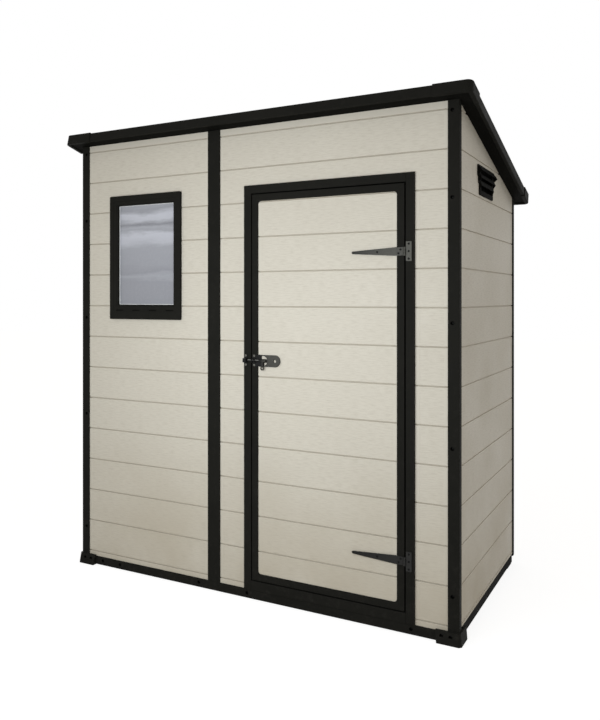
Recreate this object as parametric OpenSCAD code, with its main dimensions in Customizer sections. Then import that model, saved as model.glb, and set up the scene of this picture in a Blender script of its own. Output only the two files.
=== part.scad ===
// Garden storage shed with a single-pitch roof, made of clip-together resin panels.
// Millimetres, +Z up. The origin is on the ground under the middle of the body, and the front faces -Y.

/* [Body] */
// Width over the corner posts
body_w = 1726; // [1600:1:1950]
// Depth over the corner posts
body_d = 980; // [850:1:1200]
// Height of the roof's underside at the front face
front_h = 1910; // [1880:1:2100]
// Fall of the roof towards the rear, in degrees
roof_fall = 14.1; // [8:0.1:16]
// Thickness of a wall panel
wall_t = 16; // [10:1:22]
// Depth of a panel's face behind the posts' face
panel_set = 4; // [2:0.5:6]

/* [Posts] */
// Width of a corner post across the front and rear
post_front_w = 41; // [34:1:50]
// Width of a corner post along the sides
post_side_w = 29; // [27:1:40]
// Length of a panel's edge that is held in a post or mullion
post_hold = 8; // [5:1:12]
// Width of a mullion's face
mullion_w = 60; // [44:1:70]
// Distance from the front mullion to the middle of the body
mullion_x = 148; // [120:1:170]
// Corner radius of the posts' outer edge
post_round = 3; // [1:0.5:6]

/* [Base] */
// Height of the floor slab's underside above the ground
floor_lift = 3; // [2:0.5:8]
// Height of the floor inside
floor_top = 34; // [28:1:36]
// Height of the front and rear sills, which carry the walls
sill_h = 39; // [38:1:50]
// Height of the side sills, which carry the side walls
side_sill_h = 50; // [45:1:65]
// Depth of the side sills behind the posts' face
side_sill_set = 10; // [4:1:14]
// Length of a corner foot along each side
foot_l = 88; // [70:1:130]
// Height of a front foot
foot_h = 45; // [40:1:60]
// How far a front foot stands out at the side, on the ground
foot_out = 10; // [8:1:16]
// How far a front foot stands out to the front, on the ground
foot_front_out = 17; // [10:1:24]
// How much less a front foot stands out at its top
foot_taper = 5; // [2:1:6]
// Chamfer of a front foot's outer corner
foot_chamfer = 9; // [4:1:16]

/* [Doorway] */
// Distance from the middle of the body to the middle of the door
door_x = 351; // [340:1:380]
// Width over the door frame
frame_w = 706; // [640:1:720]
// Height of the top of the door frame
frame_top = 1668; // [1600:1:1720]
// Width of the frame's face
frame_face = 33; // [26:1:40]
// Width of the frame's lip over the wall panels
frame_lap = 12; // [8:1:16]
// Height of the threshold above the sill
threshold_h = 38; // [25:1:50]
// How far the frame stands proud of the posts
frame_proud = 4; // [2:1:8]
// Clearance all round the closed door
door_gap = 5; // [4:0.5:7]
// Width of the stop's overlap behind the door
stop_lap = 8; // [5:1:12]
// Thickness of the stop
stop_t = 6; // [4:1:8]

/* [Door] */
// Thickness of the door's border
door_t = 20; // [19:1:26]
// Thickness of the door's panel
door_panel_t = 14; // [10:1:16]
// Width of the door's border
border_w = 28; // [22:1:36]
// Depth of the door's panel behind its border
door_panel_set = 3; // [2:0.5:5]
// How far the door panel's edge runs in behind its border
door_tongue = 10; // [6:1:14]
// Corner radius of the door's panel
border_r = 12; // [4:1:20]

/* [Hinges] */
// Height of the upper hinge
hinge_top_z = 1383; // [1300:1:1450]
// Height of the lower hinge
hinge_low_z = 265; // [220:1:400]
// Length of a strap from the pin
strap_l = 204; // [150:1:260]
// Height of a strap beside the pin
strap_h = 31; // [26:1:40]
// Height of a strap at its tip
tip_h = 10; // [8:1:16]
// Thickness of the hinge metal
hinge_t = 3; // [2:0.5:3]
// Height of the plate on the frame
plate_h = 71; // [60:1:90]
// Width of the plate on the frame
plate_w = 21; // [16:1:22]
// Radius of the hinge's knuckle
knuckle_r = 4.5; // [4:0.1:4.8]
// Radius of the hinge's pin
pin_r = 2.2; // [1.5:0.1:2.6]
// Clearance round the pin
pin_gap = 0.1; // [0.05:0.05:0.2]
// Clearance between the hinge's moving metal
knuckle_gap = 0.5; // [0.3:0.1:1]
// Length of the metal that joins a knuckle to its plate
knuckle_foot = 3; // [2:0.5:4]

/* [Latch] */
// Height of the latch
latch_z = 964; // [850:1:1100]
// Radius of the sliding bolt
bolt_r = 5; // [4:0.5:6]
// Clearance round the bolt
bolt_gap = 0.3; // [0.2:0.05:0.5]
// Wall of the loops round the bolt
loop_t = 3; // [2.5:0.5:4]
// Width of a loop round the bolt
loop_w = 6; // [4:1:7]
// Distance between the two loops
loop_space = 5; // [3:1:8]
// Thickness of the latch metal
latch_t = 2.5; // [2:0.5:3]
// Height of the plates behind the loops
latch_h = 47; // [40:1:56]
// Width of the keeper
keeper_w = 14; // [10:1:16]
// Distance of the keeper from the frame's outer edge
keeper_in = 3; // [2:1:5]
// Clearance round the shot bolt in the keeper
keeper_clear = 0.5; // [0.4:0.1:1]
// Clearance between the drawn bolt and the keeper
keeper_gap = 5; // [5:1:8]
// Distance of the bolt's eye from the door's edge
eye_x = 51; // [50:1:66]
// Length of the rounded plate past the door's border
round_plate_l = 99; // [92:1:120]
// Radius of the hole in the rounded plate
plate_hole_r = 6; // [4:0.5:7]
// Radius of the hole in the bolt's eye
eye_hole_r = 4; // [3:0.5:5]
// Radius of the bolt's eye
eye_r = 8; // [7:0.5:10]
// Thickness of the bolt's eye
eye_t = 4; // [3:0.5:5]
// Width of the stem between the bolt and its eye
stem_w = 6; // [5:0.5:8]
// Length of the bolt past its stem
bolt_tail = 16; // [14:1:24]
// Distance of the eye below the bolt
eye_drop = 30; // [26:1:36]
// Radius of the two openings' round outer edge, about the bolt's stem
slot_r = 20; // [16:0.5:20]
// Distance between the two openings
slot_space = 14; // [12:1:16]
// Distance of the lower opening from the stem
slot_side = 1; // [0.5:0.5:4]

/* [Window] */
// Distance from the window's middle to the middle of the body
window_x = 504; // [480:1:520]
// Width over the window frame
window_w = 384; // [300:1:400]
// Height over the window frame
window_h = 548; // [450:1:600]
// Distance of the window frame's top below the roof at the front
window_drop = 241; // [200:1:300]
// Width of the window's side rails
window_side = 40; // [24:1:48]
// Height of the window's top rail
window_top = 43; // [30:1:50]
// Height of the window's bottom rail
window_low = 64; // [40:1:80]
// Width of the frame's lip over the wall
window_lap = 12; // [8:1:16]
// How far the frame stands proud of the wall
window_proud = 12; // [8:1:16]
// Thickness of the pane
pane_t = 4; // [3:0.5:6]
// Depth of the pane behind the wall's face
pane_set = 14; // [12:1:16]

/* [Vents] */
// Distance from the front face to the middle of a vent
vent_y = 418; // [380:1:450]
// Distance of a vent's middle below the roof above it
vent_drop = 137; // [120:1:200]
// Width of a vent's flange at its top
vent_w = 280; // [240:1:300]
// Height of a vent's flange
vent_h = 114; // [100:1:130]
// Thickness of a vent's flange
vent_t = 5; // [3:0.5:6]
// Width of the rim above and below a vent's opening
vent_rim = 16; // [12:1:20]
// How far the top louvre stands out from the wall
louvre_out = 18; // [16:1:24]
// How much less each lower louvre stands out
louvre_less = 4; // [2:0.5:4]
// How much narrower each lower louvre is, and the flange beside it
louvre_taper = 26; // [10:1:30]
// Drop of a louvre from its root to its lip
louvre_drop = 18; // [14:1:20]
// Thickness of a louvre
louvre_t = 3; // [2.5:0.5:4]
// Width of the flange beyond the end of a louvre
louvre_side = 4; // [2:1:8]
// Length of the lowest louvre's hold on the rim
louvre_hold = 12; // [9:1:14]

/* [Roof] */
// Roof overhang at the front and rear
eave = 51; // [30:1:70]
// Roof overhang at the sides
side_eave = 53; // [40:1:80]
// Thickness of the roof panel
roof_t = 30; // [20:1:34]
// Distance between the ribs on the roof
rib_pitch = 165; // [100:1:260]
// Width of a rib
rib_w = 36; // [20:1:60]
// Height of a rib
rib_h = 5; // [3:0.5:6]
// Height of the trim round the roof
trim_h = 38; // [36:1:50]
// Thickness of the trim round the roof
trim_t = 14; // [10:1:20]
// Depth of the trim below the roof's underside
trim_drop = 1; // [0:0.5:4]
// Length of a corner cap along the front or rear
cap_x = 138; // [120:1:180]
// Length of a corner cap along the sides
cap_y = 108; // [90:1:150]
// Extra thickness of the corner caps
cap_extra = 3; // [2:0.5:5]
// Corner radius of the caps
cap_r = 22; // [10:1:30]

/* [Hidden] */
$fn = 48;

cream = "#d6d1c4";
black = "#262624";
steel = "#77776f";
glass = "#9aa3ad";

roof_seat = 0.3;                          // the walls end this far below the roof
over = 1;                                 // how far a cutting shape runs past what it cuts
face_y = -body_d / 2;                     // the posts' front face
panel_y = face_y + panel_set;             // the front panels' face
inner_y = panel_y + wall_t;               // the front panels' inner face
half_w = body_w / 2;
half_d = body_d / 2;
mullion_core = mullion_w - 2 * post_hold;
wall_back = panel_set + wall_t;           // the walls' inner face behind the posts' face
rail_d = post_side_w - post_hold;         // the end rails reach in as far as the corner posts

// Height of the roof's underside at a distance y from the middle of the body.
function under_roof(y) = front_h - (y + half_d) * tan(roof_fall) - roof_seat;

frame_left = door_x - frame_w / 2;
frame_right = door_x + frame_w / 2;
frame_y = face_y - frame_proud;           // the front face of the door frame and of the door's border
open_left = frame_left + frame_face;
open_right = frame_right - frame_face;
open_low = sill_h + threshold_h;
open_high = frame_top - frame_face;
door_left = open_left + door_gap;
door_right = open_right - door_gap;
door_low = open_low + door_gap;
door_high = open_high - door_gap;
door_w = door_right - door_left;
door_h = door_high - door_low;
stop_y = frame_y + door_t + door_gap;     // the stop's face behind the door
panel_back = frame_y + door_panel_set + door_panel_t;

pin_x = open_right - door_gap / 2;        // the hinge axis
pin_y = frame_y - knuckle_r - pin_gap;

plate_y = frame_y - latch_t;              // the face of the latch's plates
bolt_y = plate_y - bolt_r - keeper_clear; // the bolt's axis
bolt_clear_r = bolt_r + bolt_gap;
keeper_x = frame_left + keeper_in;
plate_left = door_left + latch_t;         // the latch plate's edge on the door's border
border_edge = door_left + border_w;
round_right = border_edge + round_plate_l;
pull_x = door_left + eye_x;               // the middle of the bolt's eye, with the bolt drawn back
bolt_left = keeper_x + keeper_w + keeper_gap;
bolt_right = pull_x + bolt_tail;
loops_x = [plate_left, plate_left + loop_w + loop_space];

window_z = front_h - window_drop - window_h;
window_left = -window_x - window_w / 2;
window_right = window_left + window_w;
sight_left = window_left + window_side;
sight_low = window_z + window_low;
sight_w = window_w - 2 * window_side;
sight_h = window_h - window_top - window_low;

roof_front = -eave / cos(roof_fall);      // the roof's front edge, along the fall from the front face
roof_rear = (body_d + eave) / cos(roof_fall);
roof_half = half_w + side_eave;
vent_mid = face_y + vent_y;
vent_z = under_roof(vent_mid) - vent_drop;
louvres = 3;
vent_step = (vent_h - 2 * vent_rim) / louvres;
vent_hole_top = vent_z + vent_h / 2 - vent_rim;
vent_hole_low = vent_hole_top - louvres * vent_step;
vent_hole_half = vent_w / 2 - louvre_side - (louvres - 1) * louvre_taper / 2 - louvre_hold;

// ---- shared shapes ----

// A box from its lowest to its highest corner.
module block(low, high) {
    translate(low) cube(high - low);
}

// A wall profile in the YZ plane from y0 to y1, its top cut to the roof, extruded from x0 to x1.
module under_roof_slab(x0, x1, y0, y1, z0) {
    translate([x0, 0, 0]) rotate([90, 0, 90]) linear_extrude(x1 - x0)
        polygon([[y0, z0], [y1, z0], [y1, under_roof(y1)], [y0, under_roof(y0)]]);
}

// Everything below the roof, for cutting the posts to height.
module below_roof() {
    under_roof_slab(-half_w - over, half_w + over, -half_d - over, half_d + over, 0);
}

// Its children, placed in the roof's own frame: Y runs down the fall and Z is square to the roof.
module on_roof() {
    translate([0, face_y, front_h]) rotate([-roof_fall, 0, 0]) children();
}

// ---- base ----

module floor_panel() color(black)
    block([-half_w + wall_back, -half_d + rail_d, floor_lift],
          [half_w - wall_back, half_d - rail_d, floor_top]);

// The rail under the front or the rear wall.
// The front rail runs to the posts' outer faces, the rear one ends level with the side rails.
module base_rail_end(y_side) color(black) scale_sides(1, y_side) {
    half_l = half_w - (y_side > 0 ? side_sill_set : 0);
    block([-half_l, half_d - rail_d, floor_lift], [half_l, half_d, sill_h]);
}

module base_rail_side(x_side) color(black) scale_sides(x_side, 1)
    block([half_w - wall_back, -half_d + rail_d, floor_lift],
          [half_w - side_sill_set, half_d - rail_d, side_sill_h]);

// Plan of a foot under the rear-right corner, proud of it by `side` and by `end`.
module foot_plan(side, end, chamfer) {
    low = [half_w - foot_l + side, half_d - foot_l + end];
    high = [half_w + side, half_d + end];
    polygon([low, [high[0], low[1]], [high[0], high[1] - chamfer], [high[0] - chamfer, high[1]],
             [low[0], high[1]]]);
}

module front_foot(x_side) color(black)
    scale_sides(x_side, -1) difference() {
        hull() {
            linear_extrude(1) foot_plan(foot_out, foot_front_out, foot_chamfer);
            translate([0, 0, foot_h - 1]) linear_extrude(1)
                foot_plan(foot_out - foot_taper, foot_front_out - foot_taper, foot_chamfer);
        }
        // the rails and the floor, then the post above them
        block([-half_w, half_d - rail_d, floor_lift], [half_w, half_d, foot_h + over]);
        block([-half_w, -half_d, floor_lift], [half_w - side_sill_set, half_d, foot_h + over]);
        block([-half_w, -half_d, sill_h], [half_w, half_d, foot_h + over]);
    }

// A rear foot is a flat pad under the rails.
module rear_foot(x_side) color(black)
    scale_sides(x_side, 1) linear_extrude(floor_lift)
        foot_plan(-side_sill_set, -side_sill_set, foot_chamfer);

// Its children mirrored to the side that each sign names.
module scale_sides(x_side, y_side) {
    mirror([x_side < 0 ? 1 : 0, 0, 0]) mirror([0, y_side < 0 ? 1 : 0, 0]) children();
}

// ---- posts and mullions ----

// A corner post at the rear right, with lips that cover the edges of the panels it holds.
module corner_post(x_side, y_side) color(black) intersection() {
    scale_sides(x_side, y_side) translate([half_w, half_d, sill_h]) linear_extrude(front_h - sill_h)
        difference() {
            union() {
                translate([-post_front_w, -panel_set]) square([post_front_w, panel_set]);
                translate([-panel_set, -post_side_w]) square([panel_set, post_side_w]);
                translate([-post_front_w + post_hold, -panel_set - wall_t])
                    square([post_front_w - post_hold, wall_t + panel_set]);
                translate([-panel_set - wall_t, -post_side_w + post_hold])
                    square([wall_t + panel_set, post_side_w - post_hold]);
            }
            difference() {
                translate([-post_round, -post_round]) square(post_round + over);
                translate([-post_round, -post_round]) circle(post_round);
            }
        }
    below_roof();
}

// A mullion with its lip on the outside, at x; y_side is the wall that it stands in.
module mullion(x, y_side) color(black) intersection() {
    scale_sides(1, y_side) translate([x, half_d, sill_h]) linear_extrude(front_h - sill_h) {
        translate([-mullion_w / 2, -panel_set]) square([mullion_w, panel_set]);
        translate([-mullion_core / 2, -panel_set - wall_t]) square([mullion_core, wall_t + panel_set]);
    }
    below_roof();
}

// ---- walls ----

module front_slab(x0, x1) under_roof_slab(x0, x1, panel_y, inner_y, sill_h);

panel_left = -half_w + post_front_w - post_hold;
panel_right = half_w - post_front_w + post_hold;
mullion_left = -mullion_x - mullion_core / 2;
mullion_right = -mullion_x + mullion_core / 2;

module front_panel_window() color(cream) difference() {
    front_slab(panel_left, mullion_left);
    block([window_left + window_lap, panel_y - over, window_z + window_lap],
          [window_right - window_lap, inner_y + over, window_z + window_h - window_lap]);
}

module front_panel_latch_side() color(cream) intersection() {
    front_slab(mullion_right, frame_left + frame_lap);
    block([-half_w, -half_d, sill_h], [half_w, half_d, frame_top - frame_lap]);
}

module front_panel_hinge_side() color(cream) intersection() {
    front_slab(frame_right - frame_lap, panel_right);
    block([-half_w, -half_d, sill_h], [half_w, half_d, frame_top - frame_lap]);
}

module front_panel_over_door() color(cream) intersection() {
    front_slab(mullion_right, panel_right);
    block([-half_w, -half_d, frame_top - frame_lap], [half_w, half_d, front_h]);
}

module rear_slab(x0, x1) color(cream)
    under_roof_slab(x0, x1, half_d - panel_set - wall_t, half_d - panel_set, sill_h);

module side_wall(x_side) color(cream) difference() {
    scale_sides(x_side, 1)
        under_roof_slab(half_w - panel_set - wall_t, half_w - panel_set,
                        -half_d + post_side_w - post_hold, half_d - post_side_w + post_hold, side_sill_h);
    block([-half_w, vent_mid - vent_hole_half, vent_hole_low],
          [half_w, vent_mid + vent_hole_half, vent_hole_top]);
}

// ---- door frame ----

// The latch-side jamb, its outer edge at x = 0: a lip over the wall, a core in it, and the door's stop.
module door_jamb() {
    lip_x = frame_lap;
    core_top = frame_top - frame_lap;
    block([0, frame_y, sill_h], [frame_face, panel_y, frame_top]);
    block([lip_x, panel_y, sill_h], [frame_face, stop_y, core_top]);
    block([lip_x, stop_y, sill_h], [frame_face + door_gap + stop_lap, stop_y + stop_t, core_top]);
}

module door_jamb_latch() color(black) translate([frame_left, 0, 0]) door_jamb();

module door_jamb_hinge() color(black) translate([frame_right, 0, 0]) mirror([1, 0, 0]) door_jamb();

module door_head() color(black) {
    block([open_left, frame_y, open_high], [open_right, panel_y, frame_top]);
    block([open_left, panel_y, open_high], [open_right, stop_y, frame_top - frame_lap]);
    block([open_left + door_gap + stop_lap, stop_y, open_high - door_gap - stop_lap],
          [open_right - door_gap - stop_lap, stop_y + stop_t, frame_top - frame_lap]);
}

module door_threshold() color(black) {
    block([open_left, frame_y, sill_h], [open_right, stop_y, open_low]);
    block([open_left + door_gap + stop_lap, stop_y, sill_h],
          [open_right - door_gap - stop_lap, stop_y + stop_t, open_low + door_gap + stop_lap]);
}

// ---- door ----

// The opening in the border that shows the panel, with rounded corners.
module border_opening(depth) {
    x = door_left + border_w;
    z = door_low + border_w;
    w = door_w - 2 * border_w;
    h = door_h - 2 * border_w;
    translate([x, frame_y, z]) rotate([90, 0, 0]) translate([0, 0, -depth]) linear_extrude(depth + over)
        union() {
            translate([border_r, 0]) square([w - 2 * border_r, h]);
            translate([0, border_r]) square([w, h - 2 * border_r]);
            for (cx = [border_r, w - border_r])
                for (cz = [border_r, h - border_r])
                    translate([cx, cz]) circle(border_r);
        }
}

module door_border() color(black) difference() {
    block([door_left, frame_y, door_low], [door_right, frame_y + door_t, door_high]);
    border_opening(door_t + over);
    block([door_left + border_w - door_tongue, frame_y + door_panel_set, door_low + border_w - door_tongue],
          [door_right - border_w + door_tongue, frame_y + door_t + over, door_high - border_w + door_tongue]);
}

module door_panel() color(cream)
    block([door_left + border_w - door_tongue, frame_y + door_panel_set, door_low + border_w - door_tongue],
          [door_right - border_w + door_tongue, panel_back, door_high - border_w + door_tongue]);

// ---- hinges ----

strap_knuckle_h = strap_h / 2;
plate_knuckle_h = (strap_h - strap_knuckle_h) / 2 - knuckle_gap;
sweep_r = knuckle_r + 2 * knuckle_gap;    // the room that a turning knuckle needs

// A knuckle of height h round the pin, joined to metal that lies on the frame's face towards x_side.
module knuckle(z, h, x_side) {
    translate([pin_x, pin_y, z]) cylinder(r = knuckle_r, h = h);
    foot_x = x_side * (knuckle_r + knuckle_foot);
    block([pin_x + min(0, foot_x), frame_y - hinge_t, z],
          [pin_x + max(0, foot_x), frame_y - pin_gap, z + h]);
}

module hinge_strap(z) difference() {
    root = knuckle_r - knuckle_gap;
    shoulder = root + strap_h;            // the strap is parallel this far, then tapers to its tip
    tip = strap_l - tip_h / 2;
    union() {
        translate([pin_x, frame_y, z]) rotate([90, 0, 0]) linear_extrude(hinge_t)
            union() {
                polygon([[-root, -strap_h / 2], [-shoulder, -strap_h / 2], [-tip, -tip_h / 2],
                         [-tip, tip_h / 2], [-shoulder, strap_h / 2], [-root, strap_h / 2]]);
                translate([-tip, 0]) circle(tip_h / 2);
            }
        knuckle(z - strap_knuckle_h / 2, strap_knuckle_h, -1);
    }
    translate([pin_x, pin_y, z - strap_h]) cylinder(r = pin_r + pin_gap, h = 2 * strap_h);
    for (side = [-1, 1])
        translate([pin_x, pin_y, z + side * (strap_knuckle_h / 2 + strap_h / 2)])
            cylinder(r = sweep_r, h = strap_h, center = true);
}

module hinge_plate(z) {
    plate_x = pin_x + knuckle_r;
    difference() {
        union() {
            block([plate_x, frame_y - hinge_t, z - plate_h / 2],
                  [plate_x + plate_w, frame_y, z + plate_h / 2]);
            for (low = [z - strap_h / 2, z + strap_h / 2 - plate_knuckle_h])
                knuckle(low, plate_knuckle_h, 1);
        }
        translate([pin_x, pin_y, z])
            cylinder(r = sweep_r, h = strap_knuckle_h + 2 * knuckle_gap, center = true);
    }
    translate([pin_x, pin_y, z - strap_h / 2]) cylinder(r = pin_r, h = strap_h);
}

module hinge_straps() color(steel)
    for (z = [hinge_top_z, hinge_low_z]) hinge_strap(z);

module hinge_plates() color(steel)
    for (z = [hinge_top_z, hinge_low_z]) hinge_plate(z);

// ---- latch ----

// A loop round the bolt from x0 to x1, standing on a surface at y = back.
module bolt_loop(x0, x1, back) {
    loop_r = bolt_clear_r + loop_t;
    intersection() {
        translate([x0, bolt_y, latch_z]) rotate([0, 90, 0]) cylinder(r = loop_r, h = x1 - x0);
        block([x0, bolt_y - loop_r, latch_z - loop_r], [x1, back, latch_z + loop_r]);
    }
    block([x0, bolt_y, latch_z - loop_r], [x1, back, latch_z + loop_r]);
}

// A plate with a square staple, which the shot bolt passes through.
module latch_keeper() color(steel) difference() {
    reach = bolt_r + keeper_clear;
    union() {
        block([keeper_x, plate_y, latch_z - latch_h / 2],
              [keeper_x + keeper_w, frame_y, latch_z + latch_h / 2]);
        block([keeper_x, bolt_y - reach - loop_t, latch_z - reach - loop_t],
              [keeper_x + keeper_w, frame_y, latch_z + reach + loop_t]);
    }
    block([keeper_x - over, bolt_y - reach, latch_z - reach],
          [keeper_x + keeper_w + over, plate_y, latch_z + reach]);
}

module latch_plate() color(steel) {
    back = frame_y + door_panel_set;
    middle = round_right - latch_h / 2;
    difference() {
        union() {
            block([plate_left, plate_y, latch_z - latch_h / 2], [middle, frame_y, latch_z + latch_h / 2]);
            block([border_edge, plate_y, latch_z - latch_h / 2], [middle, back, latch_z + latch_h / 2]);
            translate([middle, back, latch_z]) rotate([90, 0, 0])
                cylinder(r = latch_h / 2, h = back - plate_y);
            for (x = loops_x)
                bolt_loop(x, x + loop_w, frame_y);
        }
        for (x = loops_x)
            translate([x - over, bolt_y, latch_z]) rotate([0, 90, 0])
                cylinder(r = bolt_clear_r, h = loop_w + 2 * over);
        translate([middle, back + over, latch_z]) rotate([90, 0, 0])
            cylinder(r = plate_hole_r, h = back - plate_y + 2 * over);
        // the openings: over the bolt, and under it beside the stem
        intersection() {
            translate([pull_x, back + over, latch_z]) rotate([90, 0, 0])
                cylinder(r = slot_r, h = back - plate_y + 2 * over);
            union() {
                block([pull_x - eye_r, plate_y - over, latch_z + slot_space / 2],
                      [pull_x + slot_r, back + over, latch_z + slot_r]);
                block([pull_x + stem_w / 2 + slot_side, plate_y - over, latch_z - slot_r],
                      [pull_x + slot_r, back + over, latch_z - slot_space / 2]);
            }
        }
    }
}

// The bolt, drawn back from the keeper.
module latch_bolt() color(steel) difference() {
    union() {
        translate([bolt_left + bolt_r, bolt_y, latch_z]) sphere(bolt_r);
        translate([bolt_left + bolt_r, bolt_y, latch_z]) rotate([0, 90, 0])
            cylinder(r = bolt_r, h = bolt_right - bolt_left - bolt_r);
        block([pull_x - stem_w / 2, bolt_y - eye_t / 2, latch_z - eye_drop],
              [pull_x + stem_w / 2, bolt_y + eye_t / 2, latch_z]);
        translate([pull_x, bolt_y, latch_z - eye_drop]) rotate([90, 0, 0])
            cylinder(r = eye_r, h = eye_t, center = true);
    }
    translate([pull_x, bolt_y, latch_z - eye_drop]) rotate([90, 0, 0])
        cylinder(r = eye_hole_r, h = eye_t + 2 * over, center = true);
}

// ---- window ----

module window_frame() color(black) difference() {
    union() {
        block([window_left, panel_y - window_proud, window_z],
              [window_right, panel_y, window_z + window_h]);
        block([window_left + window_lap, panel_y, window_z + window_lap],
              [window_right - window_lap, inner_y + panel_set, window_z + window_h - window_lap]);
    }
    block([sight_left, panel_y - window_proud - over, sight_low],
          [sight_left + sight_w, inner_y + panel_set + over, sight_low + sight_h]);
}

module window_pane() color(glass, 0.5)
    block([sight_left, panel_y + pane_set - pane_t, sight_low],
          [sight_left + sight_w, panel_y + pane_set, sight_low + sight_h]);

// ---- vents ----

// A flange round an opening, narrower in steps, with louvres that slope down and out between cheeks.
module vent(x_side) color(black) scale_sides(x_side, 1) {
    face = half_w - panel_set;
    flange_top = vent_z + vent_h / 2;
    difference() {
        for (k = [0 : louvres - 1]) {
            half_l = vent_w / 2 - k * louvre_taper / 2;
            low = k < louvres - 1 ? vent_hole_top - (k + 1) * vent_step : flange_top - vent_h;
            block([face, vent_mid - half_l, low], [face + vent_t, vent_mid + half_l, flange_top]);
        }
        block([face - over, vent_mid - vent_hole_half, vent_hole_low],
              [face + vent_t + over, vent_mid + vent_hole_half, vent_hole_top]);
    }
    for (k = [0 : louvres - 1]) {
        top = flange_top - 2 * louvre_t - k * vent_step;
        lip = top - louvre_drop;
        cheek_low = k < louvres - 1 ? top - vent_step + louvre_t : vent_hole_low + louvre_t;
        reach = louvre_out - k * louvre_less;
        half_l = vent_w / 2 - louvre_side - k * louvre_taper / 2;
        root = vent_t - over;
        translate([face, vent_mid + half_l, 0]) rotate([90, 0, 0]) linear_extrude(2 * half_l)
            polygon([[root, top], [root, top + louvre_t], [vent_t, top + louvre_t],
                     [reach, lip + louvre_t], [reach, lip]]);
        for (side = [-1, 1])
            translate([face, vent_mid + side * (half_l - louvre_t / 2) + louvre_t / 2, 0])
                rotate([90, 0, 0]) linear_extrude(louvre_t)
                    polygon([[root, cheek_low], [root, top + over], [reach, lip + over], [reach, lip]]);
    }
}

// ---- roof ----

module roof_panel() color(black) on_roof() {
    sheet_half = roof_half - trim_t;
    ribs = floor((sheet_half - rib_w) / rib_pitch);   // on each side of the middle one
    block([-sheet_half, roof_front + trim_t, 0], [sheet_half, roof_rear - trim_t, roof_t]);
    for (k = [-ribs : ribs])
        block([k * rib_pitch - rib_w / 2, roof_front + 2 * trim_t, roof_t - over],
              [k * rib_pitch + rib_w / 2, roof_rear - 2 * trim_t, roof_t + rib_h]);
}

module roof_trim_front() color(black) on_roof()
    block([-roof_half + cap_x, roof_front, -trim_drop],
          [roof_half - cap_x, roof_front + trim_t, trim_h - trim_drop]);

module roof_trim_rear() color(black) on_roof()
    block([-roof_half + cap_x, roof_rear - trim_t, -trim_drop],
          [roof_half - cap_x, roof_rear, trim_h - trim_drop]);

module roof_trim_side(x_side) color(black) on_roof() scale_sides(x_side, 1)
    block([roof_half - trim_t, roof_front + cap_y, -trim_drop],
          [roof_half, roof_rear - cap_y, trim_h - trim_drop]);

// A corner cap at the rear right of the roof, as an angle of trim with a rounded outer corner.
module roof_cap() {
    r = cap_r;
    translate([0, 0, -trim_drop - cap_extra]) linear_extrude(trim_h + 2 * cap_extra)
        difference() {
            union() {
                translate([roof_half - cap_x, roof_rear - cap_y])
                    square([cap_x + cap_extra, cap_y + cap_extra - r]);
                translate([roof_half - cap_x, roof_rear - cap_y])
                    square([cap_x + cap_extra - r, cap_y + cap_extra]);
                translate([roof_half + cap_extra - r, roof_rear + cap_extra - r]) circle(r);
            }
            translate([roof_half - cap_x - over, roof_rear - cap_y - over])
                square([cap_x + over - trim_t, cap_y + over - trim_t]);
        }
}

module roof_caps_rear() color(black) on_roof()
    for (side = [-1, 1]) scale_sides(side, 1) roof_cap();

module roof_caps_front() color(black) on_roof()
    translate([0, roof_front + roof_rear, 0]) mirror([0, 1, 0])
        for (side = [-1, 1]) scale_sides(side, 1) roof_cap();

// ---- nodes ----

floor_panel();
base_rail_end(-1);  // base_rail_front
base_rail_end(1);  // base_rail_rear
base_rail_side(-1);  // base_rail_left
base_rail_side(1);  // base_rail_right
front_foot(-1);  // foot_front_left
front_foot(1);  // foot_front_right
rear_foot(-1);  // foot_rear_left
rear_foot(1);  // foot_rear_right
corner_post(-1, -1);  // corner_post_front_left
corner_post(1, -1);  // corner_post_front_right
corner_post(-1, 1);  // corner_post_rear_left
corner_post(1, 1);  // corner_post_rear_right
mullion(-mullion_x, -1);  // front_mullion
mullion(0, 1);  // rear_mullion
front_panel_window();
front_panel_latch_side();
front_panel_hinge_side();
front_panel_over_door();
side_wall(-1);  // left_wall
side_wall(1);  // right_wall
rear_slab(panel_left, -mullion_core / 2);  // rear_panel_left
rear_slab(mullion_core / 2, panel_right);  // rear_panel_right
door_jamb_latch();
door_jamb_hinge();
door_head();
door_threshold();
door_border();
door_panel();
hinge_straps();
hinge_plates();
latch_plate();
latch_keeper();
latch_bolt();
window_frame();
window_pane();
vent(-1);  // vent_left
vent(1);  // vent_right
roof_panel();
roof_trim_front();
roof_trim_rear();
roof_trim_side(-1);  // roof_trim_left
roof_trim_side(1);  // roof_trim_right
roof_caps_front();
roof_caps_rear();
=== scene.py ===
import math

import bmesh
import bpy
from mathutils import Matrix, Vector


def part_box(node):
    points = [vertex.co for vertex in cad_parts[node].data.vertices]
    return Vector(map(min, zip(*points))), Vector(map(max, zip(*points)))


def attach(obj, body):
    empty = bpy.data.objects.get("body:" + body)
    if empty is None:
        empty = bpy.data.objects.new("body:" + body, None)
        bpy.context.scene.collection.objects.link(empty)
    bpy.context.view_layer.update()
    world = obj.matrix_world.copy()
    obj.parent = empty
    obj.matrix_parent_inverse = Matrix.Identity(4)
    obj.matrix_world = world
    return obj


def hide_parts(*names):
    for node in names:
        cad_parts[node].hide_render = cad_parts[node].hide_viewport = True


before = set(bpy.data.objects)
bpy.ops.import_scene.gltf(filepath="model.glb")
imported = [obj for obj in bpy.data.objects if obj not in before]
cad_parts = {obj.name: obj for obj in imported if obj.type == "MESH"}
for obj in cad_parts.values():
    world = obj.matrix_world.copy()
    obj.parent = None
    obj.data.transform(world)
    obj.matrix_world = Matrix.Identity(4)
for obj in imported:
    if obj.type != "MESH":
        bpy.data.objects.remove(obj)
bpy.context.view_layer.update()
scene = bpy.context.scene
print("frame:", len(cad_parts), "solids loaded")

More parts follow.
